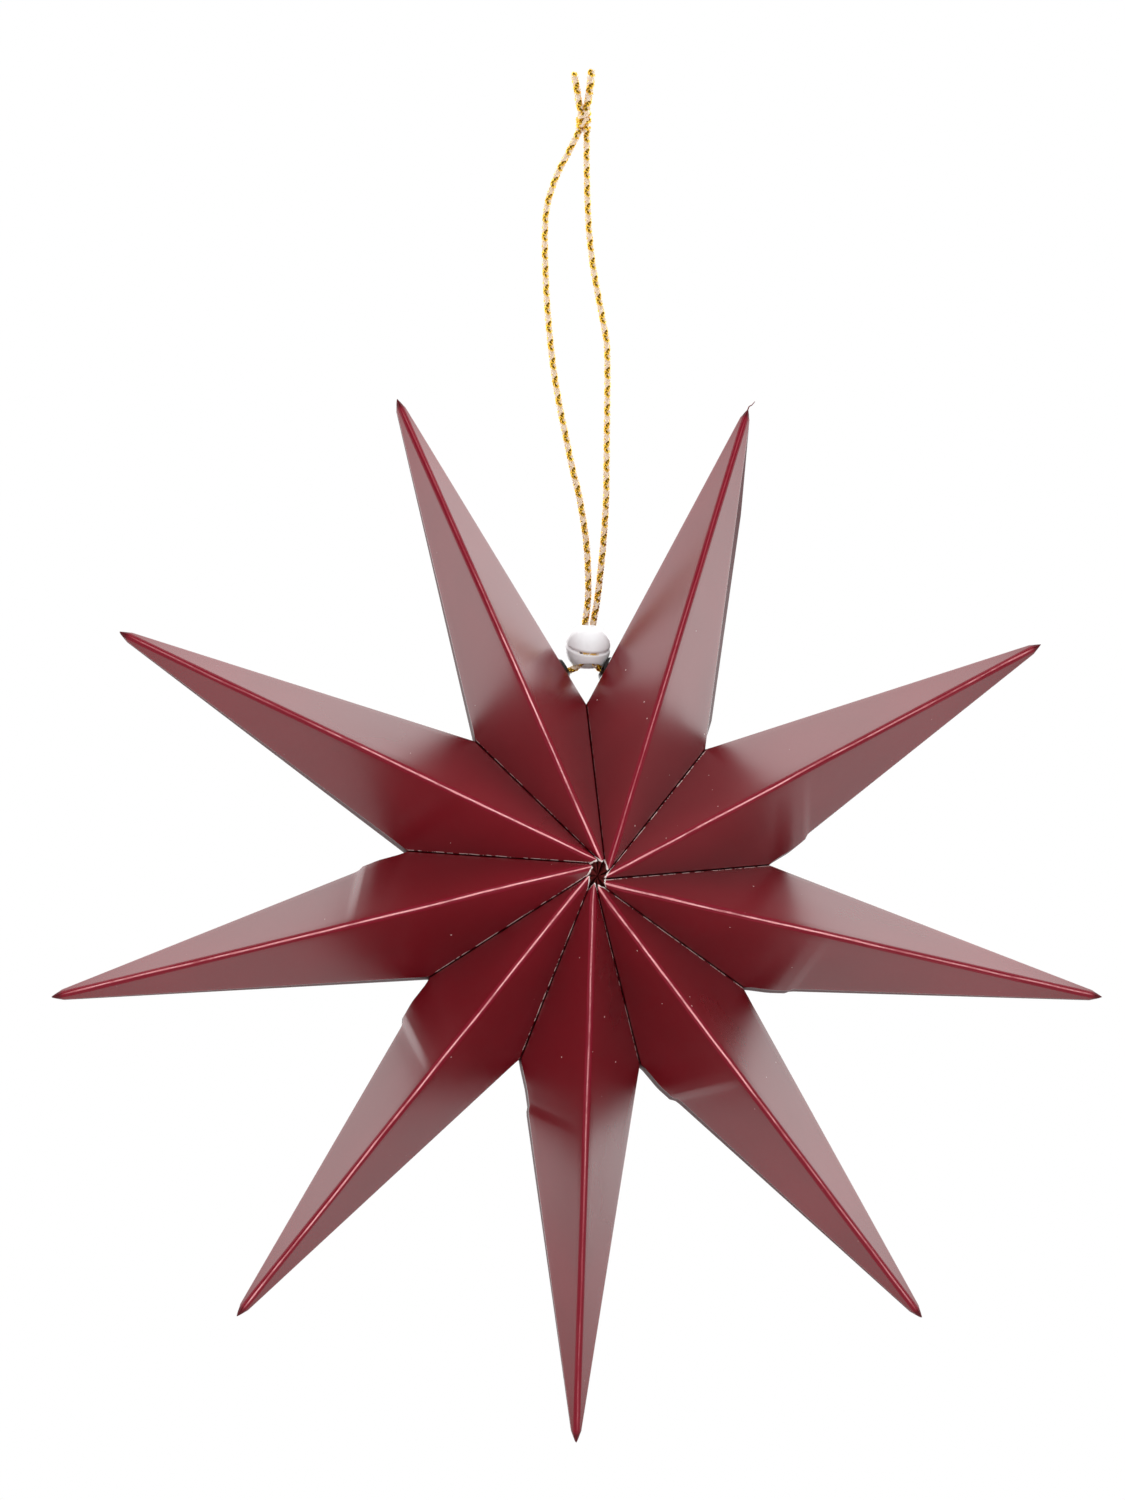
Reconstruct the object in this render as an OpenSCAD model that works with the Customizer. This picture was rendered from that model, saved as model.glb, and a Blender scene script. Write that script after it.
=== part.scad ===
// Folded card star with nine hollow points, hung by two cords through a bead.
// Front is -Y and up is +Z. The origin is the top of the cord loop, where a hook takes it.

/* [Star] */
// Distance from the middle of the star to the end of a point
tip_r = 99; // [90:1:110]
// Distance from the middle of the star to a valley between two points
valley_r = 33.8; // [31:0.2:37]
// Half the depth of the star at its middle, from front to back
hub_depth = 33; // [28:0.5:38]
// Half the height of a point's side wall at its valley
valley_depth = 3; // [2.8:0.1:3.6]
// How far a ridge stands above the valleys beside it at the middle of the star
hub_lip = 0.9; // [0.7:0.1:1.2]
// Radius of the small hole left in the middle
hub_hole_r = 1.5; // [1.4:0.05:1.9]
// Turn of the points' inner ends, which lean clockwise round the small hole
hub_turn = 40; // [0:5:45]
// Share of a hand-folded star's natural unevenness that is kept
unevenness = 1; // [0:0.25:1]

/* [Card] */
// Thickness of the card
card_t = 0.4; // [0.3:0.05:0.45]
// Gap between two neighbouring points, which the glue fills
glue_t = 0.1; // [0.05:0.05:0.2]
// Outer radius of a pressed ridge
ridge_fold_r = 0.65; // [0.5:0.05:0.8]
// Half the depth of a point at its blunt end
tip_depth = 1; // [0.8:0.1:1.4]
// Half the width of a point at its blunt end
tip_half_w = 0.8; // [0.6:0.05:1]

/* [Eyelets] */
// Diameter of an eyelet's outer flange
eyelet_d = 5.2; // [4.8:0.1:5.6]
// Diameter of an eyelet's rolled inner flange
eyelet_back_d = 4.4; // [4:0.1:4.8]
// Diameter of the hole through an eyelet
eyelet_bore_d = 2.4; // [2.2:0.1:2.6]
// Wall of an eyelet's barrel
eyelet_wall = 0.3; // [0.2:0.05:0.35]
// Height of an eyelet's outer flange above the card
eyelet_h = 0.6; // [0.5:0.05:0.8]
// Distance from the open valley to the middle of an eyelet, along the point's side
eyelet_reach = 8.2; // [7.6:0.1:9]
// Play between an eyelet and the card around it
eyelet_play = 0.05; // [0.02:0.01:0.1]

/* [Bead] */
// Diameter of the bead
bead_d = 8.2; // [7.4:0.1:9]
// Height of the bead
bead_h = 7.5; // [7:0.1:8]
// Diameter of the bore through the bead
bead_bore_d = 3.1; // [3:0.05:3.4]
// Diameter of the bore's flared mouth
bead_mouth_d = 5.3; // [5:0.1:5.6]
// Depth of the flare at each end of the bore
bead_flare_h = 2.5; // [2.2:0.1:2.9]
// Width of the flat rim round each mouth
bead_rim = 0.1; // [0.05:0.05:0.2]

/* [Cord] */
// Diameter of the cord
cord_d = 1.3; // [1:0.1:1.4]
// Width of the knot at the top of the loop
knot_w = 3; // [2.6:0.1:3.6]
// Height of the knot at the top of the loop
knot_h = 4.4; // [3.8:0.1:5]
// Length of the cut cord ends above the knot
tail_l = 8; // [6:0.5:12]
// Diameter of the knot that stops a cord inside a point
stop_d = 3.6; // [3.2:0.1:4]

/* [Hidden] */

points_n = 9;
step = 360 / points_n;
// Height of the loop's top above the middle of the star, fixed by the cords
drop = 147;
// Place of the bead, fixed by the cords
bead_x = 0.95;
bead_z = 47.1;
// A step so small that it only keeps two faces apart
hair = 0.05;

// Unevenness of the points and valleys, clockwise from the first point right of the open
// valley and from the open valley itself: turns in degrees, reaches in millimetres
tip_turn = [1.3, -0.9, -0.7, -1.2, -0.8, 0.8, 1.4, 0.8, 0.6];
tip_extra = [-1, 0.3, -0.4, 0, 0.4, 0.2, 0, -0.4, 0.8];
valley_turn = [-0.6, 0.2, -0.8, -0.4, -2, -1.1, -1.1, -2.9, -4.2];
valley_extra = [1.5, 1.5, 1, 0.2, -0.8, -1.2, -1.3, -0.3, 0.8];

// In the plane of the star, X is to the right, Y is up and angles run anticlockwise
function polar(r, a) = [r * cos(a), r * sin(a)];
function lerp(a, b, s) = a + (b - a) * s;
function unit(v) = v / norm(v);
function right_of(v) = [v[1], -v[0]];
function lift(p, z) = [p[0], p[1], z];
function rev(list) = [for (k = [len(list) - 1:-1:0]) list[k]];
function flip(list) = [for (p = list) [p[0], p[1], -p[2]]];
// From the plane of the star, with the depth to the front as third number, to the frame
function hang(p) = [p[0], -p[2], p[1] - drop];

function tip_az(i) = 90 - (i + 0.5) * step + unevenness * tip_turn[i];
function tip_p(i) = polar(tip_r + unevenness * tip_extra[i], tip_az(i));
function valley_az(j) = 90 - j * step + unevenness * valley_turn[j % points_n];
function valley_p(j) = polar(valley_r + unevenness * valley_extra[j % points_n], valley_az(j));

// A point has two sides, 1 for the clockwise one and -1 for the other. Each side runs out
// from the hub along the glued wall to its valley, and then to the blunt tip. The station s
// is 0 at the hub, 1 at the valley and 2 at the tip.
function side_j(i, side) = side > 0 ? i + 1 : i;
function seam_start(j) = polar(hub_hole_r, valley_az(j) - hub_turn);
function seam_way(j) = unit(valley_p(j) - seam_start(j));
function glue_off(i, side) = -side * right_of(seam_way(side_j(i, side))) * glue_t / 2;
function side_start(i, side) = seam_start(side_j(i, side)) + glue_off(i, side);
function side_corner(i, side) = valley_p(side_j(i, side)) + glue_off(i, side);
function side_end(i, side) = tip_p(i) + side * right_of(unit(tip_p(i))) * tip_half_w;
function side_at(i, side, s) = s <= 1
    ? lerp(side_start(i, side), side_corner(i, side), s)
    : lerp(side_corner(i, side), side_end(i, side), s - 1);
function side_depth(s) = s <= 1
    ? lerp(hub_depth - hub_lip, valley_depth, s)
    : lerp(valley_depth, tip_depth - tip_half_w / 2, s - 1);

// The ridge runs straight from the hub to the tip, and passes the valleys at this share
ridge_share = 0.36;
function ridge_s(s) = s <= 1 ? ridge_share * s : lerp(ridge_share, 1, s - 1);
function ridge_start(i) = polar(hub_hole_r, tip_az(i) - hub_turn);
function ridge_at(i, s) = lerp(ridge_start(i), tip_p(i), ridge_s(s));
function ridge_depth(s) = lerp(hub_depth, tip_depth, ridge_s(s));
function half_w(i, side, s) = norm(side_at(i, side, s) - ridge_at(i, s));
function face_slope(i, side, s) =
    atan2(ridge_depth(s) - side_depth(s), half_w(i, side, s));

// A ridge is rounded by an arc that leaves both faces where it meets them, and takes at most
// this share of a face's width
fold_share = 0.45;
fold_steps = 2;
fold_turns = [for (k = [-fold_steps:fold_steps]) k / fold_steps];
function fold_r_at(i, side, s) = min(ridge_fold_r, fold_share * half_w(i, side, s));
function crown_point(i, s, k) =
    let (side = k < 0 ? -1 : 1, slope = face_slope(i, side, s), r = fold_r_at(i, side, s),
        out = r * sin(slope * abs(k)),
        down = r * (1 / cos(slope) - cos(slope * k)))
    lift(lerp(ridge_at(i, s), side_at(i, side, s), out / half_w(i, side, s)),
        ridge_depth(s) - down);
function outer_ring(i, s) =
    let (front = [for (k = fold_turns) crown_point(i, s, k)], z = side_depth(s))
    concat(front, [lift(side_at(i, 1, s), z), lift(side_at(i, 1, s), -z)],
        rev(flip(front)), [lift(side_at(i, -1, s), -z), lift(side_at(i, -1, s), z)]);

// The hollow keeps the card's thickness inside every wall: the faces lean, so their share of
// the depth and of the width is more than the thickness
face_skin = 2 * card_t;
wall_skin = 1.1 * card_t;
wall_share = 0.7;
inner_fold = 0.2;
function inner_share(i, side, s) = min(wall_skin / half_w(i, side, s), wall_share);
function inner_side(i, side, s) =
    lerp(side_at(i, side, s), ridge_at(i, s), inner_share(i, side, s));
function inner_depth(i, side, s) =
    max(lerp(side_depth(s), ridge_depth(s), inner_share(i, side, s)) - face_skin, card_t / 2);
function inner_crown(i, s, k) =
    let (side = k < 0 ? -1 : 1, top = ridge_depth(s) - face_skin - card_t,
        low = inner_depth(i, side, s), share = inner_fold * abs(k))
    lift(lerp(ridge_at(i, s), inner_side(i, side, s), share),
        lerp(max(top, low), low, share));
function inner_ring(i, s) =
    let (front = [for (k = fold_turns) inner_crown(i, s, k)],
        zr = inner_depth(i, 1, s), zl = inner_depth(i, -1, s))
    concat(front, [lift(inner_side(i, 1, s), zr), lift(inner_side(i, 1, s), -zr)],
        rev(flip(front)), [lift(inner_side(i, -1, s), -zl), lift(inner_side(i, -1, s), zl)]);

stations = [0, 0.1, 0.5, 1, 1.3, 1.6, 1.85, 2];
hollow_stations = [0, 0.1, 0.5, 1, 1.3, 1.6, 1.85];
ring_n = 2 * len(fold_turns) + 4;
function ring_faces(first) = [for (k = [0:ring_n - 1])
    let (a = first + k, b = first + (k + 1) % ring_n)
    each [[a, b, b + ring_n], [a, b + ring_n, a + ring_n]]];
function turned(faces) = [for (f = faces) rev(f)];
function ring_cap(first) = [for (k = [0:ring_n - 1]) first + k];

module card_shell(i) {
    rings = concat([for (s = stations) outer_ring(i, s)],
        [for (s = hollow_stations) inner_ring(i, s)]);
    inner_0 = len(stations) * ring_n;
    polyhedron(
        points = [for (ring = rings) each [for (p = ring) hang(p)]],
        faces = concat(
            [for (r = [0:len(stations) - 2]) each turned(ring_faces(r * ring_n))],
            [rev(ring_cap(inner_0 - ring_n))],
            [for (r = [0:len(hollow_stations) - 2]) each ring_faces(inner_0 + r * ring_n)],
            [ring_cap((len(rings) - 1) * ring_n)],
            [for (k = [0:ring_n - 1]) let (b = (k + 1) % ring_n)
                each [[k, b, inner_0 + b], [k, inner_0 + b, inner_0 + k]]]),
        convexity = 8);
}

// Places what is drawn along +Z in the middle of the eyelet on one side of a point, with the
// card's outer face at zero and +Z pointing out of the card
last = points_n - 1;
module at_eyelet(i, side) {
    along = unit(side_end(i, side) - side_corner(i, side));
    spot = side_corner(i, side) + along * eyelet_reach;
    out = side * right_of(along);
    translate(hang(lift(spot, 0))) rotate([0, atan2(out[0], out[1]), 0]) children();
}

barrel_d = eyelet_bore_d + 2 * eyelet_wall;
wall_cut = 3 * card_t;
module card_point(i) {
    color("#6e1822") if (i == 0 || i == last)
        difference() {
            card_shell(i);
            at_eyelet(i, i == 0 ? -1 : 1)
                translate([0, 0, -wall_cut])
                    cylinder(d = barrel_d + 2 * eyelet_play, h = 2 * wall_cut, $fn = 48);
        }
    else
        card_shell(i);
}

// The flange's outer face is a quarter round on both rims. The two flanges grip the card,
// whose face leans a little, and the inner one is rolled to this height
grip = 1.2 * card_t + eyelet_play;
back_h = 1.6 * eyelet_wall;
round_steps = 5;
function quarter(cx, cz, rx, rz, from) = [for (k = [0:round_steps])
    let (a = from + 90 * k / round_steps) [cx + rx * cos(a), cz + rz * sin(a)]];
module eyelet(i, side) {
    bore_r = eyelet_bore_d / 2;
    lip = (eyelet_d - eyelet_bore_d) / 4;
    color("#1c1a1b") at_eyelet(i, side) rotate_extrude($fn = 48) polygon(concat(
        [[bore_r, -grip - back_h / 2]],
        rev(quarter(bore_r + lip, hair, lip, eyelet_h, 90)),
        [[eyelet_d / 2, hair], [barrel_d / 2, hair], [barrel_d / 2, -grip],
            [eyelet_back_d / 2, -grip], [eyelet_back_d / 2, -grip - back_h / 2],
            [barrel_d / 2, -grip - back_h], [bore_r + hair, -grip - back_h]]));
}

// An upright oval, cut off where it is as wide as the rim of a mouth, with a flared bore
module bead() {
    bore_r = bead_bore_d / 2;
    mouth_r = bead_mouth_d / 2;
    h = bead_h / 2;
    end_turn = acos((mouth_r + bead_rim) / (bead_d / 2));
    oval_h = h / sin(end_turn);
    side_steps = 12;
    side = [for (k = [-side_steps:side_steps])
        let (a = end_turn * k / side_steps) [bead_d / 2 * cos(a), oval_h * sin(a)]];
    // The flare is a quarter round from the bore out to the mouth
    flare_steps = 5;
    flare = [for (k = [0:flare_steps])
        let (a = 90 * k / flare_steps)
        [lerp(bore_r, mouth_r, sin(a)), h - bead_flare_h * cos(a)]];
    color("#f2f0f1") translate([bead_x, 0, bead_z - drop]) rotate_extrude($fn = 72)
        polygon(concat([for (p = flare) [p[0], -p[1]]], side, rev(flare)));
}

// Routes of the two cords, from the eyelets through the bead to the knot: right, back, up
// from the middle of the star
left_route = [[-4.3, 0, 42], [-3.5, 0, 42], [-2.7, 0, 42.1], [-1.9, 0, 42.4],
    [-1.1, 0, 42.9], [-0.3, 0, 43.8], [0.3, 0, 45.1], [0.4, 0, 48], [0.4, 0, 51], [0.9, 0, 55],
    [1, 0, 60], [0.6, 0, 67], [-0.6, 0, 75], [-2, 0, 81], [-3.2, 0, 87], [-4.4, 0, 93],
    [-5.4, 0, 99], [-6.2, 0, 106], [-6.8, 0, 113], [-7.1, 0, 120], [-7.2, 0, 126],
    [-6.8, 0, 132], [-5, 0, 138], [-2.6, 0, 143], [-0.7, 0, 147]];
right_route = [[4.7, 0, 42.3], [4, 0, 42.3], [3.3, 0, 42.5], [2.6, 0, 43.1], [2.1, 0, 44],
    [1.8, 0, 45.2], [1.8, 0, 48], [1.9, 0, 51], [2.6, 0, 55], [3.2, 0, 60], [3.9, 0, 67],
    [4.4, 0, 75],
    [4.5, 0, 82], [4.6, 0, 90], [4.7, 0, 98], [4.6, 0, 105], [4, 0, 109], [2.9, 0, 115],
    [1.9, 0, 121], [1.2, 0, 128], [0.9, 0, 135], [0.8, 0, 141], [0.8, 0, 147]];

// A smooth curve through the route's points, sampled for the tube's rings. A span longer than
// this has a ring in its middle too
long_span = 5.5;
function hermite(a, b, ta, tb, u) =
    (2 * u ^ 3 - 3 * u ^ 2 + 1) * a + (u ^ 3 - 2 * u ^ 2 + u) * ta
    + (3 * u ^ 2 - 2 * u ^ 3) * b + (u ^ 3 - u ^ 2) * tb;
function tangent(p, k) = (p[min(k + 1, len(p) - 1)] - p[max(k - 1, 0)]) / 2;
function samples(p, k) = norm(p[k + 1] - p[k]) > long_span ? 2 : 1;
function smooth(p) = concat([for (k = [0:len(p) - 2]) each [for (u = [0:1 / samples(p, k):0.99])
    hermite(p[k], p[k + 1], tangent(p, k), tangent(p, k + 1), u)]], [p[len(p) - 1]]);
cord_sides = 8;
module tube(route) {
    c = [for (p = smooth(route)) p - [0, 0, drop]];
    n = len(c);
    polyhedron(
        points = [for (k = [0:n - 1])
            let (t = unit(c[min(k + 1, n - 1)] - c[max(k - 1, 0)]), across = [t[2], 0, -t[0]])
            each [for (m = [0:cord_sides - 1]) let (a = 360 * m / cord_sides)
                c[k] + cord_d / 2 * (across * cos(a) + [0, 1, 0] * sin(a))]],
        faces = concat(
            [[for (m = [0:cord_sides - 1]) m]],
            [for (k = [0:n - 2]) each [for (m = [0:cord_sides - 1])
                let (a = k * cord_sides + m, b = k * cord_sides + (m + 1) % cord_sides)
                each [[a, a + cord_sides, b], [b, a + cord_sides, b + cord_sides]]]],
            [[for (m = [cord_sides - 1:-1:0]) (n - 1) * cord_sides + m]]));
}

cord_gold = "#c9a25c";
module cord_left() { color(cord_gold) tube(left_route); }
module cord_right() { color(cord_gold) tube(right_route); }

// A stop knot is larger than the eyelet's bore and lies close to its rolled inner rim. The
// cord ends in a seat in the knot
stop_play = 0.15;
seat_play = 0.2;
stop_rim_d = eyelet_bore_d + eyelet_wall;
stop_in = grip + back_h + sqrt(stop_d ^ 2 - stop_rim_d ^ 2) / 2 + stop_play;
module stop_knot(i, side) {
    color(cord_gold) at_eyelet(i, side) translate([0, 0, -stop_in]) difference() {
        sphere(d = stop_d, $fn = 32);
        translate([0, 0, stop_d / 4])
            cylinder(d = cord_d + 2 * seat_play, h = stop_d, $fn = 24);
    }
}

// Two tight turns of cord, one over the other, with the two cut ends above them
turn_r = 0.29 * knot_h;
module turn_of_cord() {
    oval_steps = 8;
    rotate_extrude($fn = 36) polygon([for (k = [0:oval_steps])
        let (a = 180 * k / oval_steps - 90) [knot_w / 2 * cos(a), turn_r * sin(a)]]);
}
module top_knot() {
    turn_tilt = 16;
    tail_turns = [-9, 7];
    tail_step = 1.1 * cord_d;
    knot_x = 0.1;
    color(cord_gold) translate([knot_x, 0, hair]) {
        translate([0, 0, turn_r]) rotate([0, turn_tilt, 0]) turn_of_cord();
        translate([0, 0, knot_h - turn_r]) rotate([0, -turn_tilt, 0]) turn_of_cord();
        for (k = [0, 1])
            translate([(k - 0.5) * tail_step, 0, knot_h - turn_r])
                rotate([0, tail_turns[k], 0])
                    cylinder(d = cord_d, h = tail_l + turn_r, $fn = 24);
    }
}

card_point(0);  // point_1
card_point(1);  // point_2
card_point(2);  // point_3
card_point(3);  // point_4
card_point(4);  // point_5
card_point(5);  // point_6
card_point(6);  // point_7
card_point(7);  // point_8
card_point(8);  // point_9
eyelet(last, 1);  // eyelet_left
eyelet(0, -1);  // eyelet_right
bead();
cord_left();
cord_right();
stop_knot(last, 1);  // stop_knot_left
stop_knot(0, -1);  // stop_knot_right
top_knot();
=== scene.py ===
"""A hanging star of nine glued card points, on two braided cords with a bead and a knot."""
import math

import bpy
import numpy as np
from mathutils import Matrix, Vector


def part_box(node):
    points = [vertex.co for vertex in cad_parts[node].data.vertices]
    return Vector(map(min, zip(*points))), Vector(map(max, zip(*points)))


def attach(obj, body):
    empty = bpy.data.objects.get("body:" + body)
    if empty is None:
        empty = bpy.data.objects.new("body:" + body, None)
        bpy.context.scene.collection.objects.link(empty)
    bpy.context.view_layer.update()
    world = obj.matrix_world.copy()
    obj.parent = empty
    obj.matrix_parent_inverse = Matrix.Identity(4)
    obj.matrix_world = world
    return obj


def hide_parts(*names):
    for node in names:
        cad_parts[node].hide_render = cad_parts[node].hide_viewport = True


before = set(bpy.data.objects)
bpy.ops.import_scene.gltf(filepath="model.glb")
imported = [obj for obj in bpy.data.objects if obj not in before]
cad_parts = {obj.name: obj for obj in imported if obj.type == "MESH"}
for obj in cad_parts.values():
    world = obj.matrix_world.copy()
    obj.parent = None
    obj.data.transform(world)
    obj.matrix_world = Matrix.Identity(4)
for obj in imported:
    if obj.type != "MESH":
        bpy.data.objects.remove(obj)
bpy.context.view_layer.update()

MM = 0.001

# Star, in millimetres and degrees, as the solids have it
POINTS = 9
STEP = 360 / POINTS
DROP = 147.0
TIP_R, VALLEY_R = 99.0, 33.8
HUB_DEPTH, VALLEY_DEPTH, HUB_LIP = 33.0, 3.0, 0.9
HUB_HOLE_R = 1.5
GLUE_T = 0.1
FOLD_R = 0.65
TIP_DEPTH, TIP_HALF_W = 1.0, 0.8
RIDGE_SHARE = 0.36
TIP_TURN = [1.3, -0.9, -0.7, -1.2, -0.8, 0.8, 1.4, 0.8, 0.6]
TIP_EXTRA = [-1, 0.3, -0.4, 0, 0.4, 0.2, 0, -0.4, 0.8]
VALLEY_TURN = [-0.6, 0.2, -0.8, -0.4, -2, -1.1, -1.1, -2.9, -4.2]
VALLEY_EXTRA = [1.5, 1.5, 1, 0.2, -0.8, -1.2, -1.3, -0.3, 0.8]

# Where each ridge and each seam ends at the hub: right and up from the middle
RIDGE_ENDS = [(1.67, 0.86), (1.33, -0.29), (1.05, -1.62), (-0.19, -2.1), (-0.86, -1.62),
              (-1.8, -0.29), (-1.24, 1.43), (-0.29, 2.67), (0.57, 2.38)]
SEAM_ENDS = [(1.14, 2.95), (2.4, 1.43), (1.24, -0.76), (1.43, -2.38), (-0.19, -2.76),
             (-1.81, -2.57), (-2.19, -0.38), (-1.62, 2.1), (-0.67, 3.52)]
# How much lower such an end lies for each millimetre outside the hole
RIDGE_FALL, SEAM_FALL = 0.33, 0.9

# How worn each seam is
SEAM_WORN = [0.1, 1, 0.8, 1, 0.5, 1, 0.7, 0.6, 0.4]
# How bright the painted highlight line on each ridge is, near the hub and out on the point, and
# the stations from the hub to the tip between which that changes
CREST_NEAR = [0.25, 0.9, 1, 1, 0.4, 1, 1, 1, 1]
CREST_FAR = [0.05, 0.5, 0.5, 0.35, 0.1, 0.8, 0.6, 0.2, 0.1]
CREST_RUN = [0, 1.05, 1.4, 2]

# Camera, fitted to the photograph: the turns and the offset of the star's middle
CAM_YAW, CAM_PITCH = 4.592, -8.825
CAM_OFFSET = (3.8239, 639.66, -26.8174)
PHOTO_H, FOCAL_PX = 1500, 3456.87
SENSOR = 36.0
CLIP_NEAR, CLIP_FAR = 0.01, 20


def make_camera():
    turn = Matrix.Rotation(math.radians(CAM_PITCH), 3, "X") @ Matrix.Rotation(
        math.radians(CAM_YAW), 3, "Z")
    back = turn.transposed()
    place = back @ -Vector(CAM_OFFSET) - Vector((0, 0, DROP))
    lens_axes = Matrix(((1, 0, 0), (0, 0, -1), (0, 1, 0)))
    data = bpy.data.cameras.new("camera")
    data.sensor_width = SENSOR
    data.lens = FOCAL_PX / PHOTO_H * SENSOR
    data.clip_start, data.clip_end = CLIP_NEAR, CLIP_FAR
    camera = bpy.data.objects.new("camera", data)
    camera.matrix_world = Matrix.Translation(place * MM) @ (back @ lens_axes).to_4x4()
    bpy.context.scene.collection.objects.link(camera)
    bpy.context.scene.camera = camera


make_camera()


# Materials
class Nodes:
    """A node tree, with short calls for the nodes that are used here."""

    def __init__(self, tree):
        self.tree = tree

    def node(self, kind, settings=None, **inputs):
        made = self.tree.nodes.new(kind)
        for key, value in (settings or {}).items():
            setattr(made, key, value)
        for key, value in inputs.items():
            self.put(made, key, value)
        return made

    def put(self, node, socket, value):
        """Links a socket's value, or sets a plain one."""
        target = node.inputs[socket]
        if isinstance(value, bpy.types.NodeSocket):
            self.tree.links.new(value, target)
        else:
            target.default_value = value

    def ramp(self, value, low, high, to_low=0.0, to_high=1.0):
        """A smooth step from one end of a range to the other."""
        made = self.node("ShaderNodeMapRange", {"interpolation_type": "SMOOTHSTEP"})
        for k, number in enumerate((value, low, high, to_low, to_high)):
            self.put(made, k, number)
        return made.outputs["Result"]

    def math(self, operation, *values):
        made = self.node("ShaderNodeMath", {"operation": operation})
        for k, value in enumerate(values):
            self.put(made, k, value)
        return made.outputs[0]

    def times(self, *values):
        product = values[0]
        for value in values[1:]:
            product = self.math("MULTIPLY", product, value)
        return product

    def distance(self, a, b):
        return self.math("ABSOLUTE", self.math("SUBTRACT", a, b))

    def sway(self, noise, width):
        """A noise as a shift of up to half the width, either way."""
        return self.math("MULTIPLY_ADD", noise, width, -width / 2)

    def mix(self, share, a, b):
        """A colour between two."""
        made = self.node("ShaderNodeMix", {"data_type": "RGBA"})
        for k, value in ((0, share), (6, a), (7, b)):
            self.put(made, k, value)
        return made.outputs[2]

    def blend(self, share, a, b):
        """A number between two."""
        made = self.node("ShaderNodeMix")
        for k, value in ((0, share), (2, a), (3, b)):
            self.put(made, k, value)
        return made.outputs[0]


class Shader(Nodes):
    """A material, with the texture nodes that are used here."""

    def __init__(self, name):
        self.material = bpy.data.materials.new(name)
        self.material.use_nodes = True
        super().__init__(self.material.node_tree)
        self.bsdf = self.tree.nodes["Principled BSDF"]

    def set(self, **inputs):
        for key, value in inputs.items():
            self.put(self.bsdf, key.replace("_", " "), value)

    def attribute(self, name):
        return self.node("ShaderNodeAttribute", {"attribute_name": name}).outputs["Fac"]

    def position(self):
        return self.node("ShaderNodeTexCoord").outputs["Object"]

    def noise(self, scale, detail=2.0, roughness=0.5, vector=None):
        made = self.node("ShaderNodeTexNoise", Scale=scale, Detail=detail, Roughness=roughness,
                         Vector=vector or self.position())
        return made.outputs["Fac"]

    def bump(self, height, strength, distance):
        made = self.node("ShaderNodeBump", Height=height, Strength=strength, Distance=distance)
        return made.outputs["Normal"]


CARD_RED, CARD_DEEP = (0.170, 0.0042, 0.0100, 1), (0.140, 0.0030, 0.0072, 1)
FOLD_DARK = (0.190, 0.0050, 0.0160, 1)
# Painted highlight on the fold's crest: rose where it is dull, pink where it is bright, and a
# near-white glint
CREST_HIGHLIGHT_ROSE, CREST_HIGHLIGHT_PINK = (0.25, 0.016, 0.030, 1), (0.80, 0.32, 0.34, 1)
CREST_GLINT_WHITE = (1.0, 0.62, 0.62, 1)
TIP_DARK = (0.085, 0.004, 0.008, 1)
# The first is painted shade in the gap of a glued seam; the second the pale of the worn cut edge
# and of dust
SEAM_SHADE, SEAM_PALE = (0.020, 0.0010, 0.0016, 1), (0.95, 0.70, 0.66, 1)
WALL_RED, WALL_DEEP = (0.085, 0.0035, 0.0065, 1), (0.05, 0.002, 0.004, 1)
CORE_WHITE, CORE_GREY = (0.90, 0.82, 0.79, 1), (0.62, 0.50, 0.47, 1)
INSIDE_RED, INSIDE_DEEP = (0.24, 0.022, 0.022, 1), (0.15, 0.012, 0.012, 1)
ENAMEL_BLACK, ENAMEL_WORN = (0.005, 0.0045, 0.0045, 1), (0.04, 0.035, 0.03, 1)
GLAZE_WHITE, GLAZE_COOL = (0.96, 0.955, 0.97, 1), (0.93, 0.925, 0.94, 1)
# Painted reflection of the gold cords in the bead's groove, dark and gold in turn
REFLECTION_DARK, REFLECTION_GOLD = (0.10, 0.05, 0.02, 1), (0.90, 0.55, 0.12, 1)
GOLD_LIGHT, GOLD_DEEP = (1.0, 0.66, 0.09, 1), (0.72, 0.36, 0.03, 1)
PALE_LIGHT, PALE_DEEP = (0.98, 0.84, 0.70, 1), (0.85, 0.58, 0.32, 1)
FLOOR_WHITE, FLOOR_GREY = (0.90, 0.90, 0.90, 1), (0.87, 0.87, 0.87, 1)
COAT_IOR = 1.55

# Marks on the card, in millimetres from a fold's crest or a side edge: where each is gone and
# where it is full, where its middle lies and how wide it wanders. A share says how much shows.
BAND_FADE = (0.85, 0.60)
# The crest's line, its glint and its second line are a painted highlight
CREST_FADE, CREST_SWAY, CREST_FRAY = (0.21, 0.07), 0.5, 0.16
GLINT_FADE = (0.10, 0.02)
SECOND_LINE, SECOND_FADE, SECOND_SHARE = 0.43, (0.10, 0.03), 0.8
# The seam's dark line is painted shade; the pale line beside it is the worn cut edge
SEAM_FADE, SEAM_SWAY = (0.24, 0.10), 0.24
PALE_LINE, PALE_FADE = 0.24, (0.15, 0.05)
# The same along a point, in stations: 0 at the hub, 1 at the valleys and 2 at the tip
CREST_STOP = (1.985, 1.93)
SEAM_STOP = (1.01, 0.99)
BRUISE_START, BRUISE_FRAY = (1.975, 1.992), 0.02
DUST_STOP, DUST_LEFT = (1.4, 0.9), 0.15
# Specks of dust, in parts of a cell of the pattern, and how few of the cells have one
DUST_SCALE, DUST_FADE, DUST_GROWN, DUST_SHARE = 400.0, (0.045, 0.02), 0.03, 0.8
DUST_RARE = (0.80, 0.84)
# How fine a thread's fibres are along it, for each metre, and round it
FIBRES_ALONG, FIBRES_AROUND = 900.0, 9.0


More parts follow.
